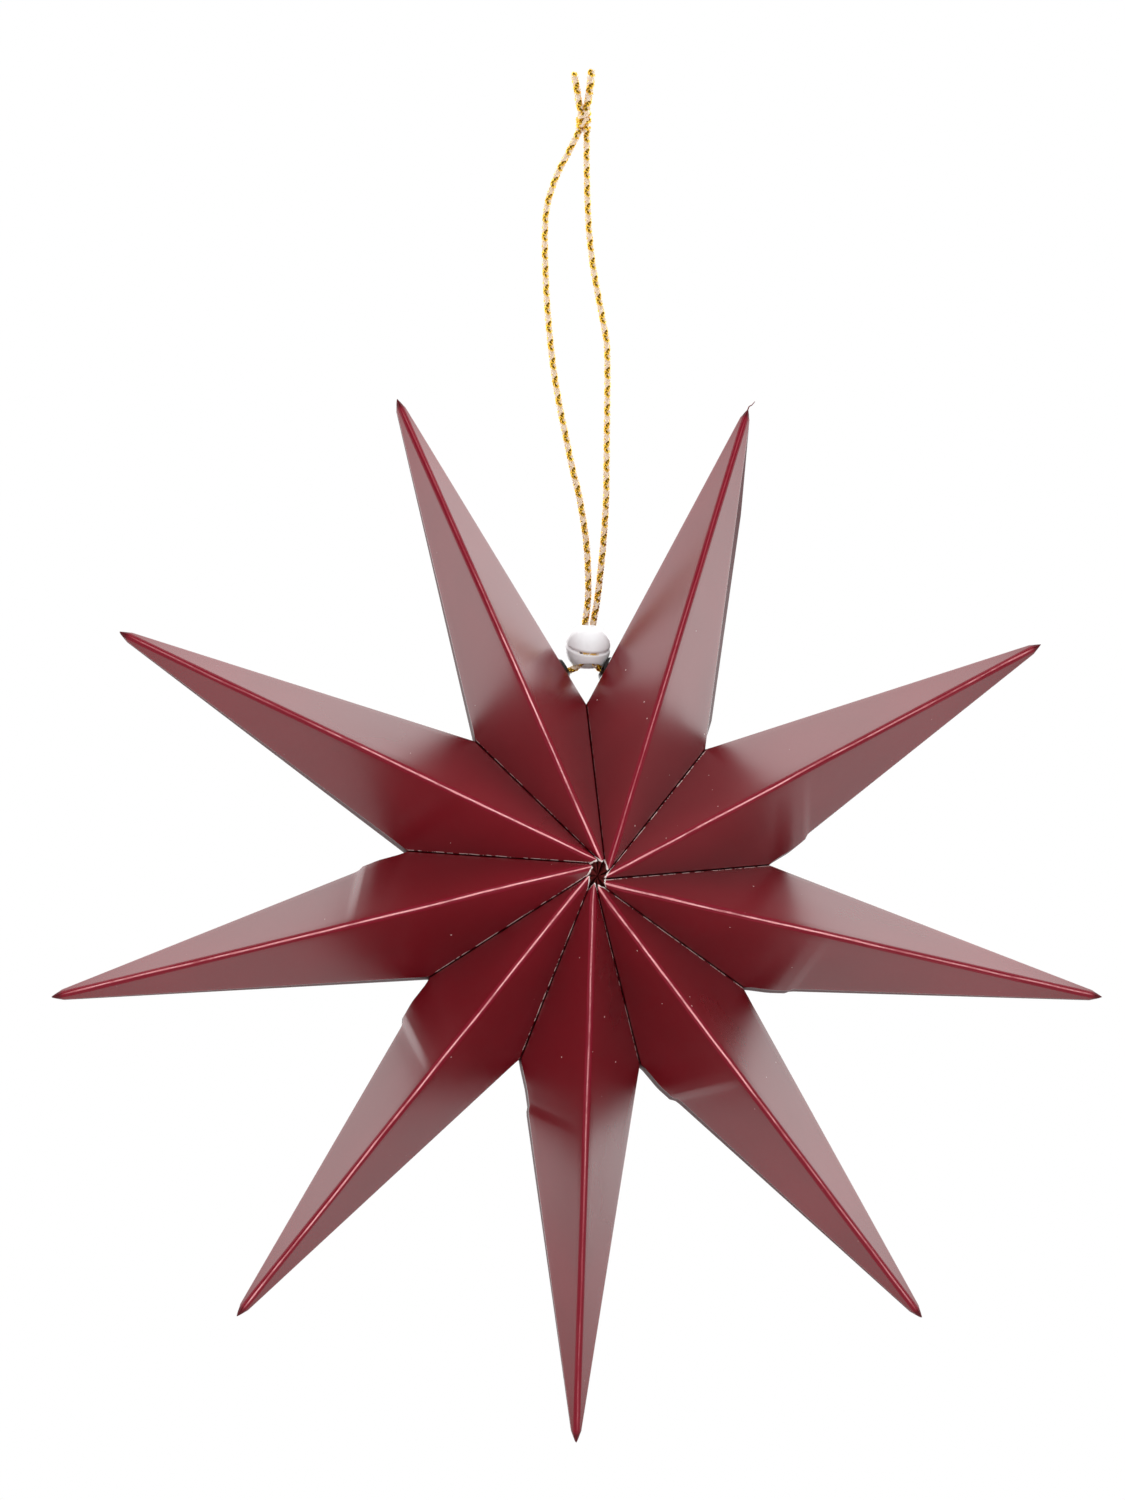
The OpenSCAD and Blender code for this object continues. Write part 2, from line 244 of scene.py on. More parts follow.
def add_fold(s, colour, fine):
    """A dark band along the fold, and on it a painted highlight line and in places a thin second
    one.
    Returns the colour and the band."""
    ridge = s.attribute("ridge")
    slow = s.noise(55.0)
    middle = s.sway(slow, CREST_SWAY)
    before_tip = s.ramp(s.attribute("run"), *CREST_STOP)
    band = s.ramp(s.math("ABSOLUTE", ridge), *BAND_FADE)
    colour = s.mix(band, colour, FOLD_DARK)

    # Painted highlight along the crest, broken up and uneven in strength, with a near-white glint
    # in its middle
    apart = s.math("ADD", s.distance(ridge, middle), s.sway(fine, CREST_FRAY))
    wear_and_highlight = s.ramp(s.noise(160.0, detail=3.0, roughness=0.6), 0.34, 0.56, 0.35, 1.0)
    bright = s.times(wear_and_highlight, s.attribute("bright"))
    glint = s.times(bright, s.ramp(apart, *GLINT_FADE), s.ramp(fine, 0.42, 0.6))
    pink = s.mix(glint, s.mix(bright, CREST_HIGHLIGHT_ROSE, CREST_HIGHLIGHT_PINK), CREST_GLINT_WHITE)
    colour = s.mix(s.times(s.ramp(apart, *CREST_FADE), before_tip), colour, pink)

    # A thin second painted highlight beside the crest, in places
    beside = s.distance(ridge, s.math("ADD", middle, SECOND_LINE))
    second = s.times(s.ramp(beside, *SECOND_FADE), s.ramp(slow, 0.5, 0.56), before_tip)
    return s.mix(s.times(second, SECOND_SHARE), colour, CREST_HIGHLIGHT_ROSE), band


def add_seam(s, colour):
    """A line of painted shade along a glued seam, and beside it the cut edge, rubbed pale in
    places. Returns the colour and the painted shade."""
    glued = s.ramp(s.attribute("run"), *SEAM_STOP)
    wander = s.sway(s.noise(240.0, detail=3.0, roughness=0.7), SEAM_SWAY)
    from_edge = s.math("ADD", s.attribute("edge"), wander)
    # Painted shade along the gap of the glued seam
    dark = s.times(s.ramp(from_edge, *SEAM_FADE), glued)
    colour = s.mix(dark, colour, SEAM_SHADE)
    at_edge = s.ramp(s.distance(from_edge, PALE_LINE), *PALE_FADE)
    broken = s.ramp(s.noise(420.0, detail=5.0, roughness=0.75), 0.46, 0.53)
    pale = s.times(at_edge, glued, broken, s.attribute("seam"))
    return s.mix(pale, colour, SEAM_PALE), dark


def add_dust(s, colour):
    """Pale specks of several sizes, most of them on the inner half of the star."""
    cells = s.node("ShaderNodeTexVoronoi", {"feature": "F1"}, Vector=s.position(),
                   Scale=DUST_SCALE, Randomness=1.0)
    draws = s.node("ShaderNodeSeparateColor", Color=cells.outputs["Color"])
    grown = s.math("MULTIPLY", draws.outputs[1], DUST_GROWN)
    speck = s.ramp(s.math("SUBTRACT", cells.outputs["Distance"], grown), *DUST_FADE)
    rare = s.ramp(draws.outputs[0], *DUST_RARE)
    inner = s.ramp(s.attribute("run"), *DUST_STOP, DUST_LEFT, 1.0)
    return s.mix(s.times(speck, rare, inner, DUST_SHARE), colour, SEAM_PALE)


def add_bruise(s, colour, fine):
    """The tip is darker, with a ragged start."""
    ragged = s.math("MULTIPLY_ADD", fine, BRUISE_FRAY, s.attribute("run"))
    return s.mix(s.ramp(ragged, *BRUISE_START), colour, TIP_DARK)


def card_material():
    """Varnished card, its varnish rubbed off the folds and the seams; painted highlight on each
    crest, painted shade along each seam.
    """
    s = Shader("varnished_card")
    cloud = s.noise(35.0, detail=3.0)
    fine = s.noise(700.0, detail=3.0, roughness=0.7)
    colour = s.mix(s.ramp(cloud, 0.3, 0.7), CARD_RED, CARD_DEEP)
    colour, band = add_fold(s, colour, fine)
    colour, dark = add_seam(s, colour)
    colour = add_bruise(s, add_dust(s, colour), fine)
    coat = s.math("SUBTRACT", 1.0, s.math("MAXIMUM", dark, s.times(band, 0.75)))
    wavy = s.bump(s.noise(70.0, detail=1.0), strength=0.10, distance=0.0006)
    s.put(wavy.node, "Normal", s.bump(s.noise(1500.0), strength=0.06, distance=0.00003))
    s.set(Base_Color=colour, Roughness=s.ramp(cloud, 0.2, 0.8, 0.36, 0.44), IOR=1.45,
          Specular_IOR_Level=0.0, Normal=wavy, Coat_Weight=coat, Coat_Roughness=0.24,
          Coat_IOR=COAT_IOR, Coat_Normal=wavy)
    return s.material


def wall_material():
    s = Shader("card_side")
    s.set(Base_Color=s.mix(s.noise(1200.0, detail=3.0), WALL_RED, WALL_DEEP), Roughness=0.6,
          Specular_IOR_Level=0.15)
    return s.material


def core_material():
    s = Shader("card_core")
    fibres = s.noise(2200.0, detail=4.0, roughness=0.7)
    s.set(Base_Color=s.mix(s.ramp(fibres, 0.35, 0.7), CORE_WHITE, CORE_GREY), Roughness=0.85,
          Normal=s.bump(fibres, strength=0.5, distance=0.00005))
    return s.material


def inside_material():
    s = Shader("card_inside")
    fibres = s.noise(900.0, detail=3.0)
    s.set(Base_Color=s.mix(fibres, INSIDE_RED, INSIDE_DEEP), Roughness=0.7,
          Normal=s.bump(fibres, strength=0.3, distance=0.00005))
    return s.material


def eyelet_material():
    s = Shader("black_enamel")
    wear_and_highlight = s.noise(900.0, detail=3.0)
    s.set(Base_Color=s.mix(s.ramp(wear_and_highlight, 0.62, 0.75), ENAMEL_BLACK, ENAMEL_WORN),
          Roughness=s.ramp(wear_and_highlight, 0.3, 0.8, 0.10, 0.25), Coat_Weight=0.3, Coat_Roughness=0.05,
          Normal=s.bump(s.noise(500.0), strength=0.08, distance=0.0001))
    return s.material


def bead_material():
    s = Shader("white_glaze")
    cloud = s.noise(160.0)
    # The front of the groove carries a painted reflection of the gold cords: dark bits and
    # metallic gold bits
    fleck = s.attribute("fleck")
    bits = s.noise(1000.0, detail=2.0, roughness=0.6)
    gold = s.times(fleck, s.ramp(bits, 0.44, 0.52))
    colour = s.mix(cloud, GLAZE_WHITE, GLAZE_COOL)
    colour = s.mix(s.times(fleck, s.ramp(bits, 0.46, 0.40)), colour, REFLECTION_DARK)
    s.set(Base_Color=s.mix(gold, colour, REFLECTION_GOLD), Metallic=s.times(gold, 0.6), Roughness=0.3,
          Coat_Weight=0.2, Coat_Roughness=0.08,
          Normal=s.bump(cloud, strength=0.05, distance=0.0003))
    return s.material


def thread_material(name, light, deep, metallic, roughness):
    """A yarn of fine fibres that run along the strand."""
    s = Shader(name)
    grid = s.node("ShaderNodeCombineXYZ", X=s.times(s.attribute("along"), FIBRES_ALONG),
                  Y=s.times(s.attribute("around"), FIBRES_AROUND), Z=0.0)
    fibres = s.noise(1.0, detail=3.0, roughness=0.6, vector=grid.outputs[0])
    s.set(Base_Color=s.mix(s.ramp(fibres, 0.3, 0.7), light, deep), Metallic=metallic,
          Roughness=roughness, Normal=s.bump(fibres, strength=0.6, distance=0.00006))
    return s.material


MATERIALS = {
    "card": card_material(),
    "core": core_material(),
    "wall": wall_material(),
    "inside": inside_material(),
    "eyelet": eyelet_material(),
    "bead": bead_material(),
    "gold": thread_material("gold_thread", GOLD_LIGHT, GOLD_DEEP, metallic=1.0, roughness=0.24),
    "pale": thread_material("pale_thread", PALE_LIGHT, PALE_DEEP, metallic=0.35, roughness=0.35),
}


# Lines and shells
def length_so_far(line):
    """How far along a line each of its points is."""
    return np.concatenate([[0], np.cumsum(np.linalg.norm(np.diff(line, axis=0), axis=1))])


def smooth_line(points, spacing):
    """Even points along the cubic curve through the given ones."""
    p = np.asarray(points, float)
    tangents = np.array([(p[min(k + 1, len(p) - 1)] - p[max(k - 1, 0)]) / 2
                         for k in range(len(p))])
    fine = []
    for k in range(len(p) - 1):
        for u in np.linspace(0, 1, 24, endpoint=False):
            fine.append((2 * u**3 - 3 * u**2 + 1) * p[k] + (u**3 - 2 * u**2 + u) * tangents[k]
                        + (3 * u**2 - 2 * u**3) * p[k + 1] + (u**3 - u**2) * tangents[k + 1])
    fine = np.array(fine + [p[-1]])
    gone = length_so_far(fine)
    wanted = np.linspace(0, gone[-1], max(2, round(gone[-1] / spacing)) + 1)
    return np.stack([np.interp(wanted, gone, fine[:, k]) for k in range(3)], 1)


def frames_along(line):
    """Two directions across the line at each point, carried along it without twist."""
    t = np.gradient(line, axis=0)
    t /= np.linalg.norm(t, axis=1)[:, None]
    first = np.array([0.0, 1.0, 0.0]) if abs(t[0][1]) < 0.9 else np.array([1.0, 0.0, 0.0])
    across = []
    for way in t:
        first = first - way * (first @ way)
        first /= np.linalg.norm(first)
        across.append(first.copy())
    across = np.array(across)
    return across, np.cross(t, across)


class Shell:
    """Points with attributes, and faces with a material each, that make up one piece."""

    def __init__(self, *materials):
        self.materials = materials
        self.points, self.faces, self.indices = [], [], []
        self.attributes = {}

    def add_points(self, points, **attributes):
        """Adds points in millimetres, each attribute as one value or one for each point, and
        returns the number of the first one."""
        first = len(self.points)
        self.points += [tuple(p) for p in points]
        for name, values in attributes.items():
            self.attributes.setdefault(name, []).extend(np.broadcast_to(values, len(points)))
        return first

    def add_face(self, corners, material):
        self.faces.append(tuple(corners))
        self.indices.append(self.materials.index(material))

    def add_band(self, low, high, materials, turned=False):
        """Adds the faces between the two rings that start at the points low and high."""
        for m, material in enumerate(materials):
            following = (m + 1) % len(materials)
            a, b, c, d = low + m, low + following, high + following, high + m
            self.add_face((a, d, c, b) if turned else (a, b, c, d), material)

    def add_tube(self, line, radius, sides, material, **attributes):
        """Adds a closed tube along a line."""
        u, v = frames_along(line)
        angles = 2 * np.pi * np.arange(sides) / sides
        ring = (u[:, None] * np.cos(angles)[None, :, None]
                + v[:, None] * np.sin(angles)[None, :, None])
        radii = np.broadcast_to(radius, len(line))
        points = (line[:, None] + radii[:, None, None] * ring).reshape(-1, 3)
        first = self.add_points(points, **attributes)
        last = first + len(points) - sides
        for low in range(first, last, sides):
            self.add_band(low, low + sides, [material] * sides)
        self.add_face(range(first + sides - 1, first - 1, -1), material)
        self.add_face(range(last, last + sides), material)

    def build(self, name):
        mesh = bpy.data.meshes.new(name)
        mesh.from_pydata([tuple(p) for p in np.array(self.points) * MM], [], self.faces)
        for material in self.materials:
            mesh.materials.append(MATERIALS[material])
        mesh.polygons.foreach_set("material_index", self.indices)
        mesh.polygons.foreach_set("use_smooth", [True] * len(mesh.polygons))
        for key, values in self.attributes.items():
            mesh.attributes.new(key, "FLOAT", "POINT").data.foreach_set(
                "value", np.asarray(values, np.float32))
        mesh.update()
        made = bpy.data.objects.new(name, mesh)
        bpy.context.scene.collection.objects.link(made)
        return made


def stand_for(piece, slot, *nodes):
    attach(piece, "root")
    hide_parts(*nodes)
    return piece


def hung(points):
    """From places measured from the middle of the star to the frame."""
    return np.asarray(points, float) - np.array([0, 0, DROP])


# Cords: right, back and up from the middle of the star
LEFT_ROUTE = [
    (-4.3, 0, 42), (-3.5, 0, 42), (-2.7, 0, 42.1), (-1.9, 0, 42.4), (-1.1, 0, 42.9),
    (-0.3, 0, 43.8), (0.3, 0, 45.1), (0.4, 0, 48), (0.4, 0, 51), (0.9, 0, 55), (1, 0, 60),
    (0.6, 0, 67), (-0.6, 0, 75), (-2, 0, 81), (-3.2, 0, 87), (-4.4, 0, 93), (-5.4, 0, 99),
    (-6.2, 0, 106), (-6.8, 0, 113), (-7.1, 0, 120), (-7.2, 0, 126), (-6.8, 0, 132),
    (-5, 0, 138), (-2.6, 0, 143), (-0.7, 0, 147)]
RIGHT_ROUTE = [
    (4.7, 0, 42.3), (4, 0, 42.3), (3.3, 0, 42.5), (2.6, 0, 43.1), (2.1, 0, 44),
    (1.8, 0, 45.2), (1.8, 0, 48), (1.9, 0, 51), (2.6, 0, 55), (3.2, 0, 60), (3.9, 0, 67),
    (4.4, 0, 75), (4.5, 0, 82), (4.6, 0, 90), (4.7, 0, 98), (4.6, 0, 105), (4, 0, 109),
    (2.9, 0, 115), (1.9, 0, 121), (1.2, 0, 128), (0.9, 0, 135), (0.8, 0, 141), (0.8, 0, 147)]
CORD_D = 1.3
RING_STEP = 0.16

# Braid: the strands that turn each way, the pale ones of them, and how they lie
STRANDS_A_WAY = 3
PALE_STRANDS = {1: (1, 2), -1: (1,)}
STRAND_R, STRAND_SIDES = 0.34, 6
BRAID_WAVE, BRAID_LEAD = 0.15, 3.6
# How much fuller the first line is than the cord, and each further line than the one before
BRAID_FULL = 1.1


def braid(name, lines):
    """Braided cord along each line: strands of both ways pass over and under each other."""
    shell = Shell("gold", "pale")
    around = np.sin(np.pi * np.arange(STRAND_SIDES) / STRAND_SIDES)
    scale = 1.0
    for line in lines:
        scale *= BRAID_FULL
        u, v = frames_along(line)
        turn = 2 * np.pi * length_so_far(line) / BRAID_LEAD
        core = (CORD_D / 2 - STRAND_R - BRAID_WAVE) * scale
        for way, pale in PALE_STRANDS.items():
            wave = way * BRAID_WAVE * scale * np.cos(STRANDS_A_WAY * turn)
            for k in range(STRANDS_A_WAY):
                angle = 2 * np.pi * k / STRANDS_A_WAY + way * turn
                out = u * np.cos(angle)[:, None] + v * np.sin(angle)[:, None]
                strand = line + out * (core + wave)[:, None]
                shell.add_tube(strand, STRAND_R * scale, STRAND_SIDES,
                               "pale" if k in pale else "gold",
                               along=np.repeat(length_so_far(strand) * MM, STRAND_SIDES),
                               around=np.tile(around, len(strand)))
    return shell.build(name)


def make_cords():
    for name, route in (("cord_left", LEFT_ROUTE), ("cord_right", RIGHT_ROUTE)):
        line = smooth_line(hung(route), RING_STEP)
        cord = stand_for(braid("braided_" + name, [line]), "cord", name)


make_cords()

# Top knot, in millimetres from the frame's origin. The wraps' places are given in turns.
WRAP_TURNS, WRAP_START = np.linspace(-0.1, 2.1, 90)[::6], 0.6
WRAP_X, WRAP_BASE = 0.25, 0.75
WRAP_R, WRAP_SWELL, WRAP_DEEP = 0.88, 0.1, 0.84
WRAP_RISE, WRAP_TILT = 1.35, 0.35
LEFT_END = [(-0.7, 0, 0), (-0.55, 0.1, 1.2), (-0.3, 0.15, 2.4), (-0.35, 0.05, 4.2),
            (-0.75, 0, 6), (-1.0, 0, 8), (-1.35, 0, 10), (-1.65, 0, 11.6)]
RIGHT_END = [(0.8, 0, 0), (0.6, -0.1, 1.2), (0.45, -0.15, 2.4), (0.75, -0.05, 4.4),
             (1.05, 0, 6), (1.35, 0, 8), (1.6, 0, 10), (1.75, 0, 12.2)]


def make_top_knot():
    """Two tight wraps round both strands, which come out above as two cut ends."""
    wraps = []
    for u in WRAP_TURNS:
        a = 2 * np.pi * u + WRAP_START
        r = WRAP_R + WRAP_SWELL * math.sin(math.pi * u / 2)
        wraps.append((WRAP_X + r * math.cos(a), WRAP_DEEP * math.sin(a),
                      WRAP_BASE + WRAP_RISE * u + WRAP_TILT * math.cos(a)))
    lines = [smooth_line(places, RING_STEP) for places in (wraps, LEFT_END, RIGHT_END)]
    stand_for(braid("knotted_ends", lines), "cord", "top_knot")


# Stop knots: how often the cord goes round, and from which angle to which, in radians, it goes
# down from the top of the ball
STOP_TURNS, STOP_STEPS = 3, 60
STOP_FROM, STOP_TO = 0.5, 2.6


def make_stop_knot(node):
    """A ball of wound cord inside a point."""
    low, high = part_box(node)
    middle = np.array((low + high) / 2) / MM
    r = (high - low).x / 2 / MM - CORD_D / 2
    a = np.linspace(0, STOP_TURNS * 2 * np.pi, STOP_STEPS)
    b = np.linspace(STOP_FROM, STOP_TO, STOP_STEPS)
    places = middle + r * np.stack([np.sin(b) * np.cos(a), np.sin(b) * np.sin(a), np.cos(b)], 1)
    stand_for(braid("wound_" + node, [smooth_line(places, RING_STEP)]), "cord", node)


make_top_knot()
for knot in ("stop_knot_left", "stop_knot_right"):
    make_stop_knot(knot)

# Bead: its middle, right and up from the star's, and its form
BEAD_X, BEAD_Z = 0.95, 46.8
BEAD_R, BEAD_HALF = 4.25, 3.8
BEAD_TOP_R, BEAD_FOOT_R = 1.6, 2.75
BORE_R, BORE_TOP = 1.55, 0.5
MOUTH_R, MOUTH_FLARE, MOUTH_LIP = 2.65, 2.5, 0.02
BEAD_ROUND, BEAD_ROWS, MOUTH_ROWS = 120, 110, 14
# Its groove: the height of its plane, and how that tilts to the back and to the right
GROOVE_LOW, GROOVE_TILT, GROOVE_ROLL = 0.1, 0.60, -0.07
GROOVE_W, GROOVE_DEPTH = 0.32, 0.34
# The painted reflection of the gold cords, in the front of the groove
REFLECTION_X, REFLECTION_HALF, REFLECTION_FADE, REFLECTION_GAIN = -0.15, 2.1, 0.4, 1.5


def bead_profile():
    """Down the outside and up the bore: the radius, the height and 1 where it is outside."""
    profile = []
    for z in np.linspace(BEAD_HALF, -BEAD_HALF, BEAD_ROWS):
        end_r = BEAD_TOP_R if z > 0 else BEAD_FOOT_R
        reach = BEAD_HALF / math.sqrt(1 - (end_r / BEAD_R) ** 2)
        profile.append((BEAD_R * math.sqrt(1 - (z / reach) ** 2), z, 1))
    profile.append((MOUTH_R, MOUTH_LIP - BEAD_HALF, 0))
    for a in np.linspace(0, math.pi / 2, MOUTH_ROWS):
        profile.append((BORE_R + (MOUTH_R - BORE_R) * (1 - math.sin(a)),
                        -BEAD_HALF + MOUTH_FLARE * (1 - math.cos(a)), 0))
    profile.append((BORE_R, BEAD_HALF - BORE_TOP, 0))
    return profile


def make_bead():
    """A glazed bead on the cords, with a narrow tilted groove round it and a painted reflection of
    the gold cords in its front.
    """
    shell = Shell("bead")
    profile = bead_profile()
    for r, z, outside in profile:
        ring, fleck = [], []
        for a in 2 * math.pi * np.arange(BEAD_ROUND) / BEAD_ROUND:
            x, y = r * math.cos(a), r * math.sin(a)
            plane = GROOVE_LOW + GROOVE_TILT * y + GROOVE_ROLL * x
            groove = outside * math.exp(-(((z - plane) / GROOVE_W) ** 2))
            cut = 1 - GROOVE_DEPTH * groove / BEAD_R
            ring.append((BEAD_X + x * cut, y * cut, BEAD_Z + z))
            # Where the painted reflection of the cords lies: the front of the groove, across its
            # middle
            middle = max(0.0, min(1.0, (REFLECTION_HALF - abs(x - REFLECTION_X)) / REFLECTION_FADE))
            fleck.append((y < 0) * middle * min(1.0, REFLECTION_GAIN * groove**2))
        shell.add_points(hung(ring), fleck=fleck)
    rows = len(profile)
    for k in range(rows):
        following = (k + 1) % rows
        shell.add_band(k * BEAD_ROUND, following * BEAD_ROUND, ["bead"] * BEAD_ROUND)
    stand_for(shell.build("glazed_bead"), "bead", "bead")


make_bead()

# The form of a point, in the plane of the star: X right, Y up, then the depth to the front.
# The rings of a point, as stations: 0 at the hub, 1 at the valleys and 2 at the tip
STATIONS = np.concatenate([
    np.linspace(0, 0.10, 9), np.linspace(0.12, 1, 26, endpoint=False),
    np.linspace(1, 1.15, 12, endpoint=False), np.linspace(1.15, 1.97, 34),
    [1.976, 1.982, 1.988, 1.993, 1.997, 2.0]])
CREST_STEPS, FACE_STEPS = 6, 9
# The fold: how much wider it is at the hub, up to which station, and the most of a face that it
# takes. The skew is the sine of the angle between a ring and the ridge.
HUB_SPREAD, HUB_SPREAD_RUN, BEND_SHARE = 0.6, 0.25, 0.45
SKEW_LEAST = 0.4
# The rounded side edge, and the strip below it that closes the gap for the glue
RIM_R, RIM_SHARE, RIM_IN, RIM_SINK = 0.12, 0.2, 0.25, 0.02
STRIP_LOW, STRIP_SHARE, STRIP_PAST = 0.3, 0.3, 0.01
# The tip: how much of its width shows, and the stations and the curve over which it is rounded
TIP_SHARE = 0.75
TIP_ROUND, TIP_LEAST, TIP_CURVE = 0.03, 0.02, 0.6
# The end of the glued flap makes a small step in the right outline of some points
FLAP_STEP = [0, 0.5, 0.4, 0.6, -0.35, 0.6, 0.5, 0, 0]
FLAP_RUN, FLAP_FORM = [1.02, 1.08, 1.125, 1.14], [0, 1, 1, 0]
# The right edge of the first point's back shows beside its front: how far out it leans, the
# stations over which that grows and fades, and how many places of a ring it moves
BACK_LEAN, LEAN_START, LEAN_END = 1.0, 0.1, 0.3
LEAN_PLACES = 4


def polar(r, degrees):
    return np.array([r * math.cos(math.radians(degrees)), r * math.sin(math.radians(degrees))])


def unit(v):
    return v / np.linalg.norm(v)


def right_of(v):
    return np.array([v[1], -v[0]])


def lerp(a, b, s):
    return a + (b - a) * s


def tip_p(i):
    return polar(TIP_R + TIP_EXTRA[i], 90 - (i + 0.5) * STEP + TIP_TURN[i])


def valley_p(j):
    return polar(VALLEY_R + VALLEY_EXTRA[j % POINTS], 90 - j * STEP + VALLEY_TURN[j % POINTS])


def seam_start(j):
    return np.array(SEAM_ENDS[j % POINTS])


def seam_of(i, side):
    """The seam beside a point: side is 1 for its right and -1 for its left."""
    return i + 1 if side > 0 else i


def side_at(i, side, s):
    """A side's edge at a station."""
    j = seam_of(i, side)
    start, valley = seam_start(j), valley_p(j)
    off = -side * right_of(unit(valley - start)) * GLUE_T / 2
    if s <= 1:
        return lerp(start, valley, s) + off
    outward = side * right_of(unit(tip_p(i)))
    end = tip_p(i) + outward * TIP_HALF_W * TIP_SHARE
    flap = np.interp(s, FLAP_RUN, FLAP_FORM) * FLAP_STEP[i] * (side > 0)
    return lerp(valley + off, end, s - 1) + outward * flap


def side_depth(i, side, s):
    past_hole = np.linalg.norm(seam_start(seam_of(i, side))) - HUB_HOLE_R
    if s <= 1:
        return lerp(HUB_DEPTH - HUB_LIP - SEAM_FALL * past_hole, VALLEY_DEPTH, s)
    return lerp(VALLEY_DEPTH, TIP_DEPTH - TIP_HALF_W / 2, s - 1)


def ridge_s(s):
    """The share of the ridge that lies before a station."""
    return RIDGE_SHARE * s if s <= 1 else lerp(RIDGE_SHARE, 1, s - 1)


def ridge_at(i, s):
    return lerp(np.array(RIDGE_ENDS[i]), tip_p(i), ridge_s(s))


def ridge_depth(i, s):
    past_hole = np.linalg.norm(RIDGE_ENDS[i]) - HUB_HOLE_R
    return lerp(HUB_DEPTH - RIDGE_FALL * past_hole, TIP_DEPTH, ridge_s(s))


def half_rows(width, top, low, fold_r, glued):
    """From the crest of the fold over the face to the rim: how far across and how high."""
    slope = math.atan2(top - low, width)
    rows = []
    for k in range(CREST_STEPS + 1):
        a = slope * k / CREST_STEPS
        rows.append((fold_r * math.sin(a), top - fold_r * (1 / math.cos(slope) - math.cos(a))))
    bend = rows[-1][0]
    rim = min(RIM_R, RIM_SHARE * width)
    for k in range(1, FACE_STEPS + 1):
        x = lerp(bend, width - rim, k / FACE_STEPS)
        rows.append((x, lerp(top, low, x / width)))
    rows.append((width - rim * RIM_IN, low + rim * RIM_IN * math.tan(slope) - RIM_SINK))
    rows.append((width, low - rim))
    strip = GLUE_T / 2 + STRIP_PAST if glued else 0.0
    rows.append((width + strip, low - rim - min(STRIP_LOW, STRIP_SHARE * low)))
    return rows, bend, slope


def half_section(i, side, s):
    """One side of a ring: its places, and how far each is from the crest and from the edge."""
    edge, ridge = side_at(i, side, s), ridge_at(i, s)
    if s > 2 - TIP_ROUND:
        gone = (s - 2 + TIP_ROUND) / TIP_ROUND
        edge = lerp(ridge, edge, max(1 - gone, TIP_LEAST) ** TIP_CURVE)
    width = np.linalg.norm(edge - ridge)
    way = (edge - ridge) / width
    along = unit(tip_p(i) - np.array(RIDGE_ENDS[i]))
    skew = max(SKEW_LEAST, abs(way[0] * along[1] - way[1] * along[0]))
    spread = 1 + HUB_SPREAD * max(0.0, 1 - s / HUB_SPREAD_RUN) ** 2
    fold_r = min(FOLD_R * spread / skew, BEND_SHARE * width)
    rows, bend, slope = half_rows(width, ridge_depth(i, s), side_depth(i, side, s), fold_r, s <= 1)

    slant = skew / math.cos(slope)
    places = [(*(ridge + way * x), z) for x, z in rows]
    from_crest = [side * (x * skew if x < bend else bend * skew + (x - bend) * slant)
                  for x, z in rows]
    from_edge = [(width - x) * slant for x, z in rows]
    return places, from_crest, from_edge


def whole_section(i, s):
    """A point's ring at a station, front and then back, with its attributes."""
    left, right = half_section(i, -1, s), half_section(i, 1, s)
    front, ridge, edge = (a[:0:-1] + b for a, b in zip(left, right))
    seam = [SEAM_WORN[i]] * (len(left[0]) - 1) + [0.0] * len(right[0])
    back = [(x, y, -z) for x, y, z in reversed(front)]
    if i == 0 and s > 1:
        share = min(1.0, (s - 1) / LEAN_START, (2 - s) / LEAN_END)
        lean = right_of(unit(tip_p(0))) * BACK_LEAN * share
        for k in range(LEAN_PLACES):
            x, y, z = back[k]
            back[k] = (x + lean[0], y + lean[1], z)
    marks = {"ridge": ridge, "edge": edge, "seam": seam}
    return front + back, {name: values + values[::-1] for name, values in marks.items()}


def in_frame(p):
    return (p[0], -p[2], p[1] - DROP)


# The hub end of a point: how far towards the hole and how far down each of its rings goes. The
# ones that go further down than the core show the card's inside.
HUB_RINGS = ((0.24, 0.08), (0.26, 0.40), (0.1, 1.6), (9.0, 2.6))
CORE_LOWEST = 1
# How near a ring may come to the middle, and the least distance that its way is worked out with
HUB_CLEAR, HUB_LEAST = 0.15, 0.2
# How uneven that end is: its share, its pace round the ring and the shift from point to point
WOBBLE, WOBBLE_PACE, WOBBLE_SHIFT = 0.35, 0.55, 1.7
# Marks that are nowhere near a fold or an edge
FAR_AWAY = {"ridge": 9, "edge": 9, "seam": 0}


def close_hub_end(shell, i, outline, walls):
    """The cut end at the hub shows its pale core from the front, as a thin line round the end,
    and the card's inner face goes on into the dark."""
    previous = 0
    for reach, drop in HUB_RINGS:
        ring = []
        for m, p in enumerate(outline):
            far = np.linalg.norm(p[:2])
            wobble = 1 + WOBBLE * math.sin(WOBBLE_PACE * m + WOBBLE_SHIFT * i)
            q = np.array(p)
            q[:2] -= q[:2] / max(far, HUB_LEAST) * min(reach * wobble, max(far - HUB_CLEAR, 0.0))
            q[2] -= math.copysign(min(drop, abs(p[2])), p[2])
            ring.append(in_frame(q))
        first = shell.add_points(ring, run=0, **FAR_AWAY)
        shell.add_band(previous, first, ["inside" if drop > CORE_LOWEST or m in walls else "core"
                                         for m in range(len(ring))], turned=True)
        previous = first


